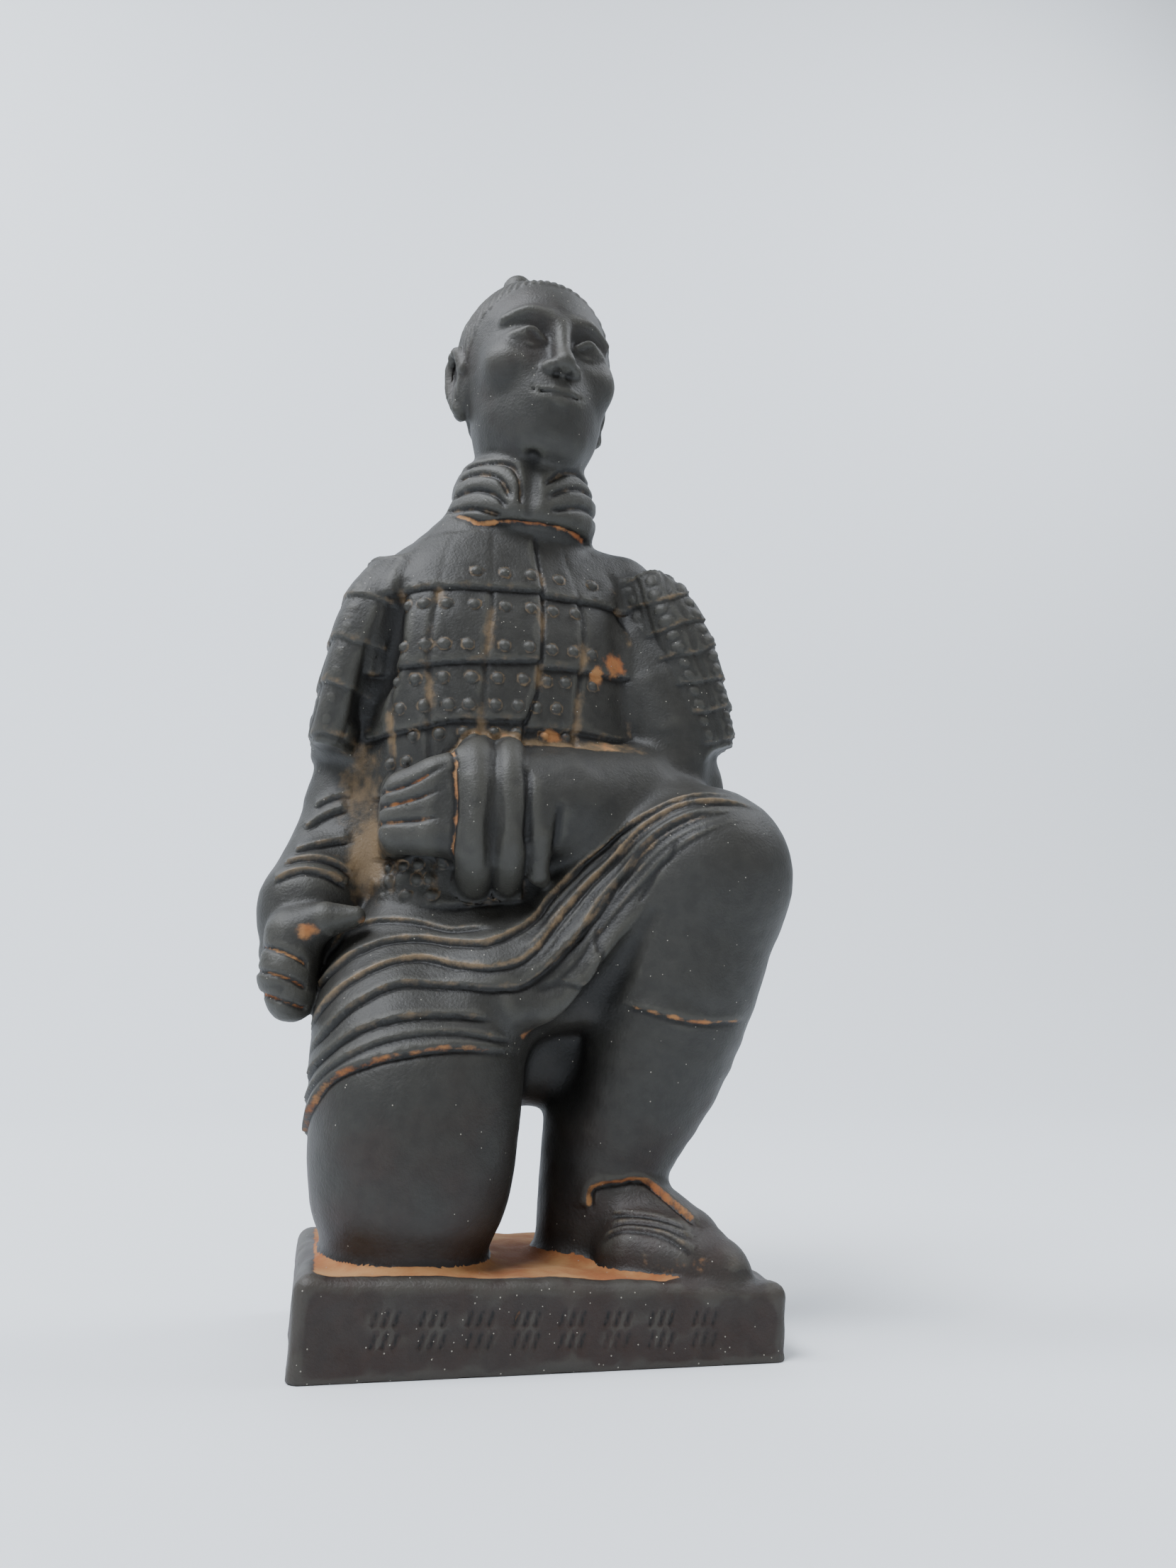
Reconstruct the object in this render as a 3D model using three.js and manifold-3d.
// Kneeling warrior statuette, moulded in one with its plinth.
// Millimetres, +Z up, the figure faces -Y. The surface is grown as soft clay: rounded volumes are
// blended into one distance field, the field is polygonised on a grid, and the mesh is thinned.

import * as THREE from 'three';
import Module from 'manifold-3d';
import { mergeVertices } from 'three/addons/utils/BufferGeometryUtils.js';
import { edgeTable, triTable } from 'three/addons/objects/MarchingCubes.js';

// ---------------------------------------------------------------- driving dimensions

const PLINTH = { x: -0.25, width: 69, depth: 46, height: 12.6, corner: 2, slope: 0.75 };
// The underside isn't square to the figure: the figure is modelled upright, then levelled on it.
const UNDERSIDE = { tilt: 1.85, z: 0.8 };
const KNEE = { x: -19.3, halfWidth: 15.9, halfDepth: 17 };
const RAISED_KNEE = [25.2, -6, 72.5];
const WAIST = [-3, 8, 66];
const TORSO_TURN = { yaw: 8, roll: -5 };
const HEAD = { centre: [-6.2, 3.6, 164.8], yaw: 9, size: 1.045 };
const SCARF = { x: -6.6, y: 4.2, halfWidth: 9.6, halfDepth: 8.8 };
const FOLD = { width: 3.8, height: 1.1 };
const FAR = 20;
const GRID_STEP = 1.4;
const TRIANGLES = 9700;

// ---------------------------------------------------------------- small vector helpers

const sub = (a, b) => [a[0] - b[0], a[1] - b[1], a[2] - b[2]];
const dot = (a, b) => a[0] * b[0] + a[1] * b[1] + a[2] * b[2];
const unit = (v) => v.map((c) => c / (Math.hypot(...v) || 1));
const cross = (u, v) => [u[1] * v[2] - u[2] * v[1], u[2] * v[0] - u[0] * v[2], u[0] * v[1] - u[1] * v[0]];
const radians = THREE.MathUtils.degToRad;

// Rows of a rotation matrix: roll about Y, then pitch about X, then yaw about Z, in degrees.
function turn({ yaw = 0, pitch = 0, roll = 0 }) {
  const m = new THREE.Matrix4();
  m.makeRotationFromEuler(new THREE.Euler(radians(pitch), radians(roll), radians(yaw), 'ZXY'));
  const e = m.elements;
  return [[e[0], e[4], e[8]], [e[1], e[5], e[9]], [e[2], e[6], e[10]]];
}

const UPRIGHT = turn({});
const outward = (m, v) => m.map((row) => dot(row, v));
const inward = (m, v) => [0, 1, 2].map((i) => m[0][i] * v[0] + m[1][i] * v[1] + m[2][i] * v[2]);
const place = (origin, m, v) => outward(m, v).map((value, i) => origin[i] + value);

// ---------------------------------------------------------------- rounded volumes
// Each volume is { low, high, distance(p) }, negative inside.

function ball(centre, radii, m = UPRIGHT) {
  const reach = m.map((row) => Math.hypot(row[0] * radii[0], row[1] * radii[1], row[2] * radii[2]));
  return {
    low: sub(centre, reach),
    high: centre.map((c, i) => c + reach[i]),
    distance(p) {
      const q = inward(m, sub(p, centre));
      const k0 = Math.hypot(q[0] / radii[0], q[1] / radii[1], q[2] / radii[2]);
      const k1 = Math.hypot(q[0] / radii[0] ** 2, q[1] / radii[1] ** 2, q[2] / radii[2] ** 2) + 1e-9;
      return k0 * (k0 - 1) / k1;
    },
  };
}

// A chain of tapered round segments through points.
function limb(points, radii) {
  const radius = points.map((_, i) => (Array.isArray(radii) ? radii[i] : radii));
  const low = [0, 1, 2].map((i) => Math.min(...points.map((p, n) => p[i] - radius[n])));
  const high = [0, 1, 2].map((i) => Math.max(...points.map((p, n) => p[i] + radius[n])));
  return {
    low,
    high,
    distance(p) {
      let nearest = Infinity;
      for (let n = 0; n + 1 < points.length; n++) {
        const along = sub(points[n + 1], points[n]);
        const from = sub(p, points[n]);
        const t = Math.min(1, Math.max(0, dot(from, along) / dot(along, along)));
        const off = Math.hypot(from[0] - t * along[0], from[1] - t * along[1], from[2] - t * along[2]);
        nearest = Math.min(nearest, off - radius[n] - t * (radius[n + 1] - radius[n]));
      }
      return nearest;
    },
  };
}

function block(centre, half, corner, m = UPRIGHT) {
  const reach = m.map((row) => row.reduce((sum, v, j) => sum + Math.abs(v) * half[j], 0));
  return {
    low: sub(centre, reach),
    high: centre.map((c, i) => c + reach[i]),
    distance(p) {
      const q = inward(m, sub(p, centre)).map((v, i) => Math.abs(v) - half[i] + corner);
      const outside = Math.hypot(...q.map((v) => Math.max(v, 0)));
      return outside + Math.min(Math.max(...q), 0) - corner;
    },
  };
}

// Smooth value between rows, with slopes from the neighbouring rows.
function between(rows, column, z) {
  let i = 0;
  while (i < rows.length - 2 && z > rows[i + 1][0]) i++;
  const slope = (n) => {
    const a = rows[Math.max(n - 1, 0)];
    const b = rows[Math.min(n + 1, rows.length - 1)];
    return (b[column] - a[column]) / (b[0] - a[0]);
  };
  const [start, end] = [rows[i], rows[i + 1]];
  const h = end[0] - start[0];
  const u = Math.min(1, Math.max(0, (z - start[0]) / h));
  const back = 1 - u;
  return (1 + 2 * u) * back * back * start[column] + u * back * back * h * slope(i)
    + u * u * (3 - 2 * u) * end[column] - u * u * back * h * slope(i + 1);
}

// Sections stacked up an axis: rows of [height, centre x, centre y, half width, half depth, squareness].
function stack(rows, m = UPRIGHT, at = [0, 0, 0]) {
  const corners = [];
  const low = [1, 2].map((i) => Math.min(...rows.map((r) => r[i] - r[i + 2])));
  const high = [1, 2].map((i) => Math.max(...rows.map((r) => r[i] + r[i + 2])));
  for (const x of [low[0], high[0]]) {
    for (const y of [low[1], high[1]]) {
      for (const z of [rows[0][0], rows[rows.length - 1][0]]) corners.push(place(at, m, [x, y, z]));
    }
  }
  return {
    low: [0, 1, 2].map((i) => Math.min(...corners.map((c) => c[i]))),
    high: [0, 1, 2].map((i) => Math.max(...corners.map((c) => c[i]))),
    distance(p) {
      const q = inward(m, sub(p, at));
      const [cx, cy, rx, ry, n] = [1, 2, 3, 4, 5].map((column) => between(rows, column, q[2]));
      const ring = (Math.abs(q[0] - cx) / rx) ** n + (Math.abs(q[1] - cy) / ry) ** n;
      const side = (ring ** (1 / n) - 1) * Math.min(rx, ry);
      return Math.max(side, rows[0][0] - q[2], q[2] - rows[rows.length - 1][0]);
    },
  };
}

const smoothCurve = (points, steps) => new THREE.CatmullRomCurve3(
  points.map((p) => new THREE.Vector3(...p)), false, 'centripetal',
).getPoints(steps).map((v) => v.toArray());

// ---------------------------------------------------------------- the clay

const smoothMin = (a, b, blend) => {
  const h = Math.max(blend - Math.abs(a - b), 0);
  return Math.min(a, b) - h * h / (4 * blend);
};

class Clay {
  constructor() {
    this.layers = [];
    this.folds = [];
  }

  add(volume, blend) {
    this.layers.push({ volume, merge: (value, d) => smoothMin(value, d, blend), margin: blend + 3 });
  }

  cut(volume, blend) {
    this.layers.push({ volume, merge: (value, d) => -smoothMin(-value, d, blend), margin: blend + 3 });
  }

  distance(p) {
    let value = FAR;
    for (const { volume, merge } of this.layers) value = merge(value, volume.distance(p));
    return value;
  }

  slope(p) {
    const h = 0.4;
    return [0, 1, 2].map((i) => {
      const [ahead, behind] = [h, -h].map((d) => this.distance(p.map((v, n) => (n === i ? v + d : v))));
      return (ahead - behind) / (2 * h);
    });
  }

  // A pleat: a smooth line through points near the surface, pressed onto it.
  fold(points, width = FOLD.width, height = FOLD.height) {
    const samples = smoothCurve(points, 5 * points.length).map((start) => {
      let p = start;
      for (let n = 0; n < 3; n++) {
        const g = this.slope(p);
        const stepBack = this.distance(p) / Math.max(dot(g, g), 0.2);
        p = p.map((v, i) => v - stepBack * g[i]);
      }
      return p;
    });
    const frames = samples.map((p, n) => {
      const [before, after] = [samples[Math.max(n - 1, 0)], samples[Math.min(n + 1, samples.length - 1)]];
      const along = unit(sub(after, before));
      const normal = unit(this.slope(p));
      let across = unit(cross(along, normal));
      if (across[2] < 0) across = across.map((v) => -v);
      const fromEnd = Math.min(n, samples.length - 1 - n) / samples.length / 0.12;
      return { p, along, normal, across, fade: THREE.MathUtils.smoothstep(fromEnd, 0, 1) };
    });
    const low = [0, 1, 2].map((i) => Math.min(...samples.map((p) => p[i])) - 1.6 * width);
    const high = [0, 1, 2].map((i) => Math.max(...samples.map((p) => p[i])) + 1.6 * width);
    this.folds.push({ low, high, raise: (p) => foldHeight(frames, p, width, height) });
  }

  // Distance field on a regular grid, each volume worked out only near itself.
  field(low, high, step) {
    const count = low.map((v, i) => Math.ceil((high[i] - v) / step) + 1);
    const values = new Float32Array(count[0] * count[1] * count[2]).fill(FAR);
    const around = (box, margin, change) => {
      const from = low.map((v, i) => Math.max(0, Math.floor((box.low[i] - margin - v) / step)));
      const to = low.map((v, i) => Math.min(count[i], Math.ceil((box.high[i] + margin - v) / step) + 1));
      for (let k = from[2]; k < to[2]; k++) {
        for (let j = from[1]; j < to[1]; j++) {
          for (let i = from[0]; i < to[0]; i++) {
            const at = i + count[0] * (j + count[1] * k);
            values[at] = change(values[at], [low[0] + i * step, low[1] + j * step, low[2] + k * step]);
          }
        }
      }
    };
    for (const { volume, merge, margin } of this.layers) {
      around(volume, margin, (value, p) => merge(value, volume.distance(p)));
    }
    for (const fold of this.folds) {
      around(fold, 0, (value, p) => (Math.abs(value) < 4 ? value - fold.raise(p) : value));
    }
    return { values, count, low, step };
  }
}

// Height of a pleat's lip above its line, less the groove on the line, at a point near the surface.
function foldHeight(frames, p, width, height) {
  let nearest = frames[0];
  let least = Infinity;
  for (const frame of frames) {
    const r = sub(p, frame.p);
    const d = dot(r, r);
    if (d < least) {
      least = d;
      nearest = frame;
    }
  }
  const r = sub(p, nearest.p);
  const u = dot(r, nearest.across) / width;
  const past = Math.max(Math.abs(dot(r, nearest.along)) - 1.5, 0);
  const off = dot(r, nearest.normal) / (1.2 * width);
  const lip = Math.exp(-(((u - 0.28) / (u > 0.28 ? 0.42 : 0.2)) ** 2));
  const groove = 0.5 * Math.exp(-(((u + 0.05) / 0.2) ** 2));
  return height * (lip - groove) * nearest.fade * Math.exp(-(off ** 4) - past * past);
}

function plinth(clay) {
  const below = 4;
  const half = [PLINTH.width / 2, PLINTH.depth / 2, (PLINTH.height + below) / 2];
  const centre = [PLINTH.x, 0, (PLINTH.height - below) / 2];
  clay.add(block(centre, half, PLINTH.corner, turn({ roll: PLINTH.slope })), 0.01);
}

function kneelingLeg(clay) {
  clay.add(ball([-4, 10, 51], [27, 13.5, 17]), 6);
  clay.add(limb([[-18, 15, 30], [-17, 14, 44]], [8, 10]), 5);
  clay.add(limb([[-17, 15, 15], [-17.5, 17, 24], [-17.5, 16, 36]], [5, 5.2, 7]), 3);
  const { x, halfWidth: w, halfDepth: d } = KNEE;
  clay.add(stack([
    [9, x, -3, 0.5 * w, 0.55 * d, 2.2],
    [13.4, x, -3.8, 0.71 * w, 0.79 * d, 2.3],
    [18, x, -4.3, 0.86 * w, 0.94 * d, 2.4],
    [25, x, -4.5, 0.96 * w, d, 2.4],
    [33, x, -4, w, d, 2.4],
    [43, x, -2.5, 1.02 * w, 0.97 * d, 2.4],
    [52, x + 0.4, 0.5, 1.02 * w, 0.9 * d, 2.4],
    [60, x + 1.2, 4, 0.91 * w, 0.75 * d, 2.3],
    [67, x + 2.2, 7, 0.69 * w, 0.58 * d, 2.2],
  ]), 4);
}

function torso(clay) {
  clay.add(stack([
    [-14, 2, 2, 22, 13, 2.3],
    [-4, 1, 1, 24.5, 15, 2.4],
    [6, 0, 0, 24, 15, 2.4],
    [20, -1, -0.3, 23, 14.6, 2.4],
    [34, -1.5, -0.6, 24, 15, 2.5],
    [48, -2, -0.5, 24.5, 14.6, 2.6],
    [58, -2, 0, 22, 13, 2.5],
    [66, -2, 0, 15, 10.5, 2.3],
    [72, -2, -1, 9, 8, 2],
  ], turn(TORSO_TURN), WAIST), 5);
  clay.add(limb([[-25, 9, 118.5], [-7, 9, 125], [12, 9, 125.5]], [8.5, 9.5, 8.5]), 5);
}

function head(clay) {
  const m = turn(HEAD);
  const at = (x, y, z) => place(HEAD.centre, m, [x, y, z].map((c) => c * HEAD.size));
  const oval = (centre, radii) => ball(at(...centre), radii.map((r) => r * HEAD.size), m);
  clay.add(limb([[-6.8, 6, 132], [-6.6, 4.2, 150]], [10, 8.2]), 4);
  clay.add(oval([0, 2.5, 5.4], [12.8, 15, 12.6]), 3);
  clay.add(oval([0, -1.6, -2.5], [12, 12.9, 16.8]), 5);
  clay.add(oval([0, -5.2, -11.6], [8.6, 8.3, 6.6]), 5);
  clay.add(oval([0, -14.6, -3.6], [1.8, 2.2, 3.6]), 2);
  clay.add(limb([at(-3.2, 2.1, 15.5), at(-3.3, 2, 18.9)], [4, 2.7]), 0.8);
  clay.add(limb([at(5.6, 5, 13), at(6.1, 5.3, 16.6)], [4.2, 3.2]), 1);
  for (const side of [-1, 1]) clay.add(oval([side * 12.6, 2.2, -2.6], [1.8, 3.6, 6.2]), 1.5);
}

// Three thick rolls of cloth round the neck, higher behind, with a slit in front.
function scarf(clay) {
  const at = (degrees, z, out) => {
    const a = radians(degrees);
    const { x, y, halfWidth, halfDepth } = SCARF;
    return [x + (halfWidth + out) * Math.sin(a), y - (halfDepth + out) * Math.cos(a), z];
  };
  const risesBehind = 2.2;
  for (const [z, radius, out] of [[134.2, 3, 0.6], [138.2, 3.1, 0.4], [141.6, 2.7, -0.4]]) {
    const ring = [];
    for (let a = 0; a <= 360; a += 20) ring.push(at(a, z + risesBehind * (1 - Math.cos(radians(a))), out));
    clay.add(limb(ring, radius), 2.2);
  }
  const slit = [[143.5, 3.2], [139, 3.6], [133, 4.2], [129.5, 3.4]].map(([z, out]) => at(-3, z, out));
  clay.cut(limb(slit, [0.9, 1.3, 1.1, 1.4]), 1.4);
}

function shoulderGuards(clay) {
  clay.add(stack([
    [-17, 0, 0, 3.6, 8.5, 2.6],
    [-10, 0, 0, 4.6, 10.5, 2.6],
    [0, 0, 0, 5, 12, 2.8],
    [10, 0.5, 0, 5.2, 11.5, 2.6],
    [17, 1.5, 0, 4.4, 8.5, 2.3],
  ], turn({ yaw: -6, roll: 11 }), [-33.2, 7, 107.5]), 2.5);
  clay.add(stack([
    [-17, 0, 0, 5, 9, 2.6],
    [-8, 0, 0, 6.2, 11.5, 2.6],
    [2, 0, 0, 6.4, 12.5, 2.8],
    [11, -0.5, 0, 6, 11.5, 2.6],
    [17, -1.5, 0, 4.6, 8.5, 2.3],
  ], turn({ yaw: 6, roll: -22 }), [22.2, 6, 112]), 2.5);
}

// Right arm, which hangs to a fist on the hip. A web of clay closes it to the body.
function loweredArm(clay) {
  clay.add(limb([[-28, 10, 116], [-30.5, 12, 98], [-32.3, 13, 84]], [7.3, 7.2, 7.2]), 4);
  clay.add(limb([[-27, 9, 104], [-28, 9, 86], [-30, 8, 72]], [6, 6.4, 7]), 4);
  clay.add(limb([[-32.3, 13, 84], [-35, 9.5, 74], [-38.6, 3.6, 64]], [7.2, 7.3, 7.6]), 3);
  clay.add(limb([[-38, 3.6, 65], [-39.3, 1.6, 57]], [7.4, 5.6]), 2);
  const gap = [
    [-27.6, -6.4, 118],
    [-28.4, -6.6, 113.5],
    [-29.2, -6.2, 108],
    [-30.2, -4.2, 101.5],
    [-31.8, -1.6, 95.5],
  ];
  clay.cut(limb(gap, [0.9, 2.1, 2.9, 3.1, 2.2]), 1.2);
  clay.add(limb([[-39.6, -3.4, 58.6], [-40, -4.2, 53], [-39.2, -4.6, 49.8]], [4.3, 4.6, 3.9]), 1.2);
  clay.add(limb([[-39.6, -3, 59.6], [-35, -5.6, 61.6], [-30.6, -6.6, 62.4]], [3.9, 2.9, 1.7]), 1.6);
}

// Left arm, folded across the belly, with two deep rolls at the cuff and four curled fingers.
function foldedArm(clay) {
  clay.add(limb([[13, 10, 120], [21, 11, 106], [24.5, 9, 91]], [8.5, 8.5, 8]), 3);
  const sleeve = [[14.5, 3.6, 114], [17.5, 2.4, 106], [20, 1.8, 99], [21, 1.5, 94]];
  clay.add(limb(sleeve, [6.2, 7.4, 7.6, 7]), 2.5);
  clay.add(limb([[24.5, 9, 90], [14, -1, 86], [2, -5, 82.5], [-9, -5.5, 80]], [8.5, 9, 9.7, 10.3]), 3);
  for (const [x, radius, top, bottom] of [[-13.8, 2.9, 91, 68.2], [-8.6, 2.6, 91.6, 68.6]]) {
    const cuff = [
      [x + 1.2, -3, top],
      [x + 0.2, -8.6, top - 1.6],
      [x - 0.2, -12.6, top - 6],
      [x, -13.6, 79],
      [x + 0.3, -13, bottom + 4.5],
      [x + 0.8, -9, bottom + 1.2],
      [x + 1.2, -4, bottom],
    ];
    clay.add(limb(smoothCurve(cuff, 20), radius), 0.9);
  }
  clay.add(limb([[-3.8, -12.6, 80.5], [-3.6, -12.9, 76], [-3, -10.5, 70.5]], [1.9, 2.3, 1.8]), 1.2);
  clay.add(limb([[-14, -5.5, 80], [-21.5, -5.2, 80]], [8.4, 5.8]), 2);
  const fingers = [[87, 83, 2.7], [83.2, 80.7, 2.7], [79.2, 78.2, 2.7], [75.2, 75.2, 3.1]];
  for (const [knuckle, tip, radius] of fingers) {
    clay.add(limb([
      [-14.5, -10.6, knuckle],
      [-20.5, -10.6, (knuckle + tip) / 2],
      [-25.2, -7.8, tip],
      [-25.4, -3.5, tip],
    ], [radius, radius, 0.92 * radius, 0.85 * radius]), 2.2);
  }
}

function raisedLeg(clay) {
  clay.add(limb([[4, 8, 60], [16, 0, 67], RAISED_KNEE], [15, 14.5, 14.3]), 6);
  const shin = [RAISED_KNEE, [21.5, -5.5, 55], [17.8, -4, 42], [12, -1, 27], [11, 0, 14]];
  clay.add(limb(shin, [14.2, 13.2, 11.8, 9.7, 9]), 4);
  clay.add(limb([[8.5, 1, 40], [8.6, 0, 33.6], [8.8, 0, 24], [9, 1, 14]], 6.9), 2);
  clay.add(limb([[-4, 3, 42.5], [6, 3, 42.5]], 7.9), 2);
  clay.add(limb([[8, -5, 62], [1, -7, 56], [-8, -7, 54]], [9, 8.5, 9]), 6);
  // The robe's hem hangs free of the shin, over a deep cleft.
  clay.add(limb([[15, -13.5, 70], [8, -13.6, 58.5], [1, -13.2, 51], [-7, -14, 49]], [1.4, 2.9, 3.1, 2.8]), 2);
  const cleft = [[13.8, -17.6, 64.5], [9, -15.6, 55], [4.2, -13.6, 47.5], [-1, -12.4, 44.2]];
  clay.cut(limb(cleft, [1.2, 3, 3.8, 2.6]), 0.8);
  // The shoe, its toe turned out.
  const instep = [[12, 3, 17], [16, -5.5, 17.2], [21, -11.5, 14.8], [25.5, -15.5, 12.8]];
  clay.add(limb(instep, [8.6, 8.2, 6.9, 4.9]), 2.5);
  clay.add(limb([[14, -12.5, 14.5], [20, -16, 13.6], [26.5, -18, 12.6]], [5.2, 4.8, 3.2]), 2);
}

// Pleats of the robe: from the raised knee down into the lap, then over the kneeling thigh.
function robeFolds(clay) {
  clay.fold([
    [29, -14, 84.5], [12, -13, 79.5], [5, -10.5, 73.5], [-0.5, -10, 66.5], [-5, -12.5, 61.5],
    [-15, -12.5, 58.5], [-25, -9, 58.5], [-34, -5, 51.5], [-35.5, 2, 47],
  ]);
  clay.fold([
    [33, -14, 82], [14, -14.5, 79], [7, -12, 71], [1.5, -12.5, 64], [-4, -15, 57.5],
    [-15, -14.5, 55], [-24, -12, 55], [-34, -9.5, 48.5], [-35.7, -2, 43],
  ]);
  clay.fold([
    [27, -17, 80], [12, -14.5, 73.5], [6, -14, 64], [0, -15, 57.5], [-5, -16, 53],
    [-15.5, -15.5, 52], [-23, -15, 52], [-33.5, -12, 44.5], [-35.5, -5, 40],
  ]);
  clay.fold([[-9, -16, 47.4], [-22, -17.5, 47], [-33, -13, 41], [-35.5, -6, 37]]);
  clay.fold([[-3.5, -10, 43], [-9, -17, 43], [-23.5, -19, 41.5], [-32, -15.5, 38], [-35.3, -3, 29]]);
}

// ---------------------------------------------------------------- field to mesh

const CORNERS = [[0, 0, 0], [1, 0, 0], [1, 1, 0], [0, 1, 0], [0, 0, 1], [1, 0, 1], [1, 1, 1], [0, 1, 1]];
const EDGES = [
  [0, 1], [1, 2], [2, 3], [3, 0], [4, 5], [5, 6], [6, 7], [7, 4], [0, 4], [1, 5], [2, 6], [3, 7],
];

function polygonise({ values, count, low, step }) {
  const index = (c) => c[0] + count[0] * (c[1] + count[1] * c[2]);
  const vertexOfEdge = new Map();
  const points = [];
  const triangles = [];
  const crossing = (a, b) => {
    const [first, second] = index(a) < index(b) ? [a, b] : [b, a];
    const axis = [0, 1, 2].find((i) => first[i] !== second[i]);
    const key = index(first) * 3 + axis;
    if (!vertexOfEdge.has(key)) {
      const [va, vb] = [values[index(first)], values[index(second)]];
      const t = Math.min(0.97, Math.max(0.03, va / (va - vb)));
      vertexOfEdge.set(key, points.length);
      points.push(first.map((v, i) => low[i] + step * (v + (i === axis ? t : 0))));
    }
    return vertexOfEdge.get(key);
  };
  for (let k = 0; k + 1 < count[2]; k++) {
    for (let j = 0; j + 1 < count[1]; j++) {
      for (let i = 0; i + 1 < count[0]; i++) {
        const corner = CORNERS.map((c) => [i + c[0], j + c[1], k + c[2]]);
        let code = 0;
        corner.forEach((c, n) => {
          if (values[index(c)] < 0) code |= 1 << n;
        });
        if (edgeTable[code] === 0) continue;
        for (let n = 16 * code; triTable[n] !== -1; n += 3) {
          triangles.push([0, 2, 1].map((m) => {
            const [a, b] = EDGES[triTable[n + m]];
            return crossing(corner[a], corner[b]);
          }));
        }
      }
    }
  }
  return { points, triangles };
}

// ---------------------------------------------------------------- thinning by edge collapse

const normalOf = (a, b, c) => cross(sub(b, a), sub(c, a));

// Ten numbers of the symmetric plane quadric, weighted by the triangle's area.
function planeQuadric(a, b, c) {
  const normal = normalOf(a, b, c);
  const length = Math.hypot(...normal) + 1e-12;
  const [x, y, z] = normal.map((v) => v / length);
  const w = -dot([x, y, z], a);
  return [x * x, x * y, x * z, x * w, y * y, y * z, y * w, z * z, z * w, w * w].map((v) => v * length / 2);
}

function quadricError(q, [x, y, z]) {
  return q[0] * x * x + 2 * q[1] * x * y + 2 * q[2] * x * z + 2 * q[3] * x + q[4] * y * y
    + 2 * q[5] * y * z + 2 * q[6] * y + q[7] * z * z + 2 * q[8] * z + q[9];
}

// The point of least error, or null where the quadric is nearly flat.
function bestPoint(q) {
  const m = new THREE.Matrix3().set(q[0], q[1], q[2], q[1], q[4], q[5], q[2], q[5], q[7]);
  const size = q[0] + q[4] + q[7];
  if (Math.abs(m.determinant()) < 1e-4 * size ** 3) return null;
  return new THREE.Vector3(-q[3], -q[6], -q[8]).applyMatrix3(m.invert()).toArray();
}

class Heap {
  constructor() {
    this.items = [];
  }

  push(item) {
    const list = this.items;
    let i = list.push(item) - 1;
    while (i > 0) {
      const parent = (i - 1) >> 1;
      if (list[parent].cost <= list[i].cost) break;
      [list[parent], list[i]] = [list[i], list[parent]];
      i = parent;
    }
  }

  pop() {
    const list = this.items;
    const top = list[0];
    const last = list.pop();
    if (list.length === 0) return top;
    list[0] = last;
    for (let i = 0; ;) {
      let least = i;
      for (const child of [2 * i + 1, 2 * i + 2]) {
        if (child < list.length && list[child].cost < list[least].cost) least = child;
      }
      if (least === i) return top;
      [list[least], list[i]] = [list[i], list[least]];
      i = least;
    }
  }
}

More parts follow.
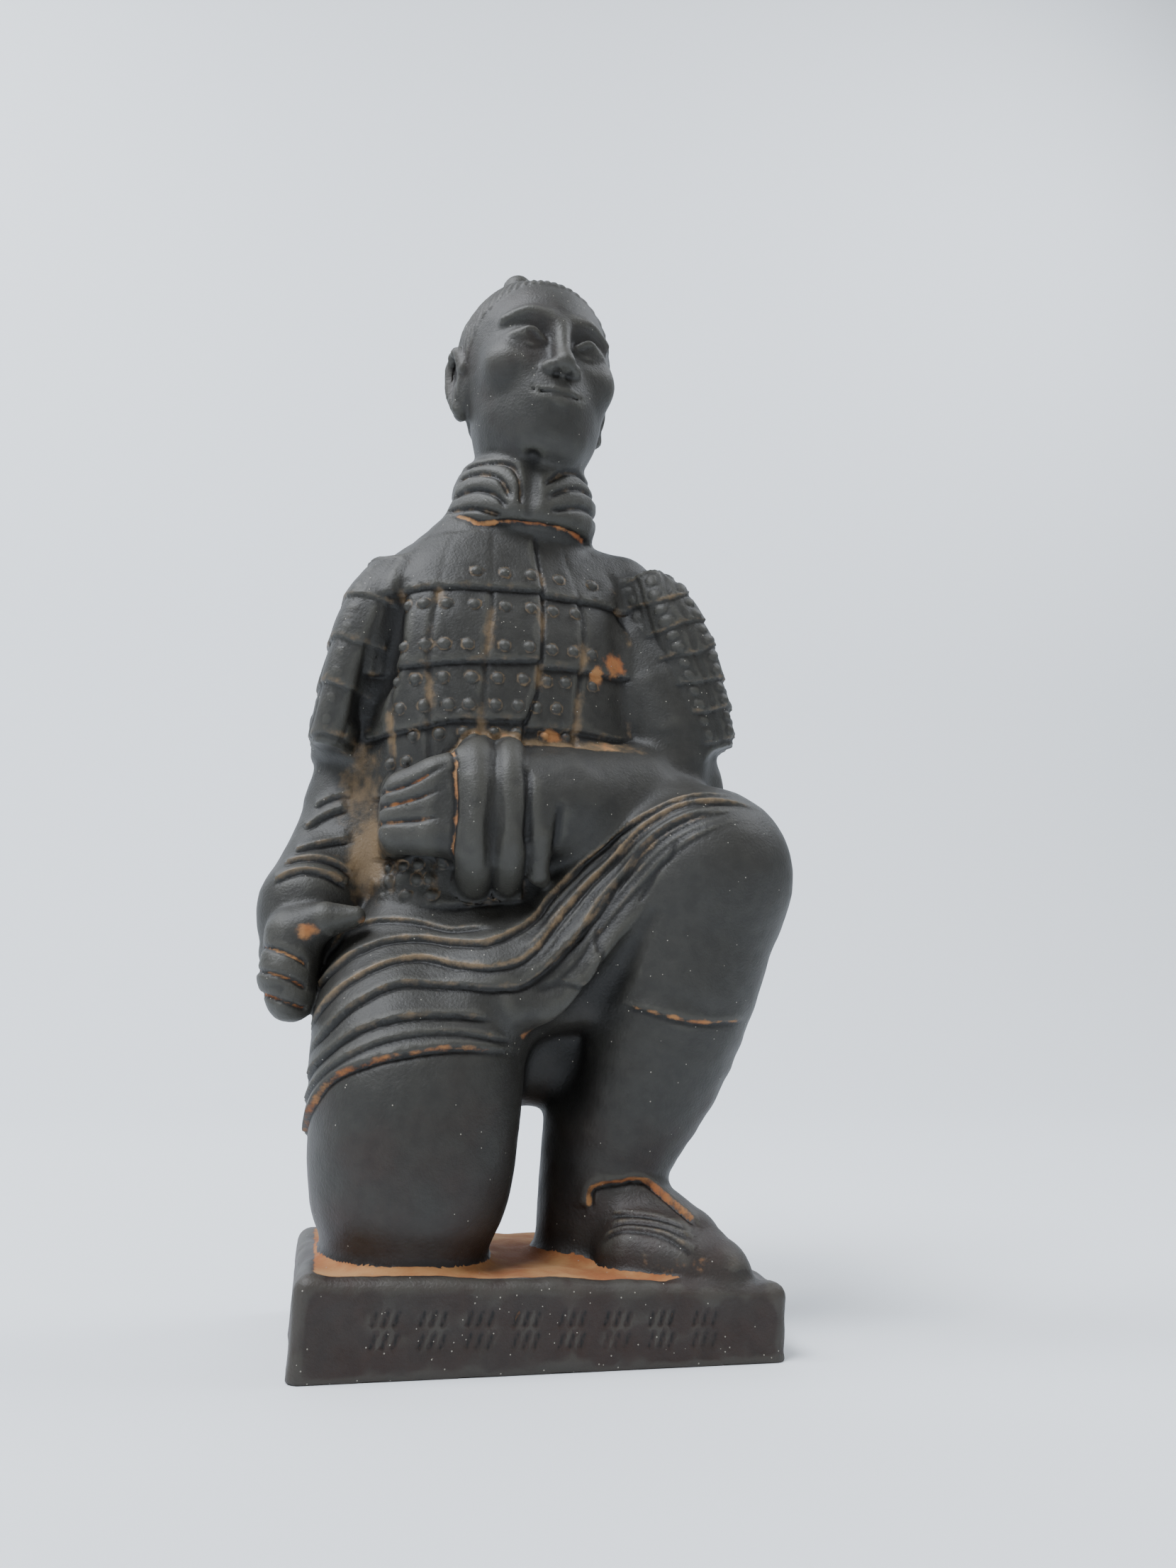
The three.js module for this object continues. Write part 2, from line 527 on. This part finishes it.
class Thinner {
  constructor({ points, triangles }) {
    this.points = points;
    this.triangles = triangles;
    this.alive = triangles.map(() => true);
    this.around = points.map(() => new Set());
    this.quadric = points.map(() => new Array(10).fill(0));
    this.version = points.map(() => 0);
    triangles.forEach((t, n) => {
      const q = planeQuadric(...t.map((v) => points[v]));
      for (const v of t) {
        this.around[v].add(n);
        this.quadric[v] = this.quadric[v].map((value, i) => value + q[i]);
      }
    });
    this.left = triangles.length;
    this.heap = new Heap();
    for (const [a, b, c] of triangles) {
      for (const [u, v] of [[a, b], [b, c], [c, a]]) {
        if (u < v) this.offer(u, v);
      }
    }
  }

  neighbours(v) {
    const found = new Set();
    for (const n of this.around[v]) this.triangles[n].forEach((w) => found.add(w));
    found.delete(v);
    return found;
  }

  offer(u, v) {
    const q = this.quadric[u].map((value, i) => value + this.quadric[v][i]);
    const [a, b] = [this.points[u], this.points[v]];
    const middle = a.map((value, i) => (value + b[i]) / 2);
    const length = Math.hypot(...sub(a, b));
    let spot = bestPoint(q);
    if (!spot || Math.hypot(...sub(spot, middle)) > length) spot = middle;
    const cost = Math.max(quadricError(q, spot), 0) + 2e-4 * length * length;
    this.heap.push({ cost, u, v, spot, q, seen: this.version[u] + this.version[v] });
  }

  // Every triangle kept around a moved vertex must keep its side and stay well shaped.
  keepsShape(v, other, spot) {
    for (const n of this.around[v]) {
      const t = this.triangles[n];
      if (t.includes(other)) continue;
      const before = normalOf(...t.map((w) => this.points[w]));
      const after = normalOf(...t.map((w) => (w === v ? spot : this.points[w])));
      const size = Math.hypot(...after);
      if (dot(before, after) < 0.35 * Math.hypot(...before) * size) return false;
      const corners = t.map((w) => (w === v ? spot : this.points[w]));
      const longest = Math.max(...[0, 1, 2].map((i) => Math.hypot(...sub(corners[i], corners[(i + 1) % 3]))));
      if (size < 0.08 * longest * longest) return false;
    }
    return true;
  }

  collapse({ u, v, spot, q }) {
    const shared = [...this.neighbours(u)].filter((w) => this.neighbours(v).has(w));
    if (shared.length !== 2) return;
    if (!this.keepsShape(u, v, spot) || !this.keepsShape(v, u, spot)) return;
    for (const n of [...this.around[v]]) {
      const t = this.triangles[n];
      if (t.includes(u)) {
        this.alive[n] = false;
        this.left -= 1;
        t.forEach((w) => this.around[w].delete(n));
      } else {
        t[t.indexOf(v)] = u;
        this.around[u].add(n);
      }
    }
    this.around[v].clear();
    this.points[u] = spot;
    this.quadric[u] = q;
    this.version[u] += 1;
    this.version[v] = -1e9;
    for (const w of this.neighbours(u)) {
      this.version[w] += 1;
    }
    const near = this.neighbours(u);
    for (const w of near) {
      for (const x of this.neighbours(w)) {
        if (x === u || !near.has(x) || w < x) this.offer(Math.min(w, x), Math.max(w, x));
      }
    }
  }

  thinTo(target) {
    while (this.left > target && this.heap.items.length > 0) {
      const item = this.heap.pop();
      if (item.seen === this.version[item.u] + this.version[item.v]) this.collapse(item);
    }
    const used = new Map();
    const points = [];
    const triangles = this.triangles.filter((_, n) => this.alive[n]).map((t) => t.map((v) => {
      if (!used.has(v)) {
        used.set(v, points.length);
        points.push(this.points[v]);
      }
      return used.get(v);
    }));
    return { points, triangles };
  }
}

// ---------------------------------------------------------------- solids

const wasm = await Module();
wasm.setup();

function solid(points, triangles) {
  const vertProperties = new Float32Array(points.flat());
  const triVerts = new Uint32Array(triangles.flat());
  return new wasm.Manifold(new wasm.Mesh({ numProp: 3, vertProperties, triVerts }));
}

// A plain box that takes away everything under the standing surface.
function groundCutter() {
  const box = new THREE.BoxGeometry(2 * PLINTH.width, 2 * PLINTH.depth, 20);
  box.translate(0, 0, -10);
  box.deleteAttribute('normal');
  box.deleteAttribute('uv');
  const merged = mergeVertices(box);
  const place3 = merged.attributes.position;
  const points = [...Array(place3.count).keys()].map((i) => [place3.getX(i), place3.getY(i), place3.getZ(i)]);
  const flat = [...merged.index.array];
  const triangles = [];
  for (let i = 0; i < flat.length; i += 3) triangles.push(flat.slice(i, i + 3));
  return solid(points, triangles);
}

function toGeometry(body) {
  const mesh = body.getMesh();
  const geometry = new THREE.BufferGeometry();
  geometry.setAttribute('position', new THREE.BufferAttribute(new Float32Array(mesh.vertProperties), 3));
  geometry.setIndex(new THREE.BufferAttribute(new Uint32Array(mesh.triVerts), 1));
  geometry.computeBoundingBox();
  const { min, max } = geometry.boundingBox;
  geometry.translate(-(min.x + max.x) / 2, -(min.y + max.y) / 2, -min.z);
  geometry.computeVertexNormals();
  return geometry;
}

function buildStatue() {
  const clay = new Clay();
  const steps = [
    plinth, kneelingLeg, torso, head, scarf, shoulderGuards, loweredArm, foldedArm, raisedLeg, robeFolds,
  ];
  for (const step of steps) step(clay);
  const field = clay.field([-52, -32, -8], [48, 34, 196], GRID_STEP);
  const thin = new Thinner(polygonise(field)).thinTo(TRIANGLES);
  const level = turn({ roll: UNDERSIDE.tilt });
  const points = thin.points.map((p) => outward(level, sub(p, [0, 0, UNDERSIDE.z])));
  return toGeometry(solid(points, thin.triangles).subtract(groundCutter()));
}

const terracotta = new THREE.MeshStandardMaterial({ color: 0x3c3a38, roughness: 0.75, metalness: 0 });
const statue = new THREE.Mesh(buildStatue(), terracotta);
statue.name = 'statue';

const group = new THREE.Group();
group.add(statue);

export default group;
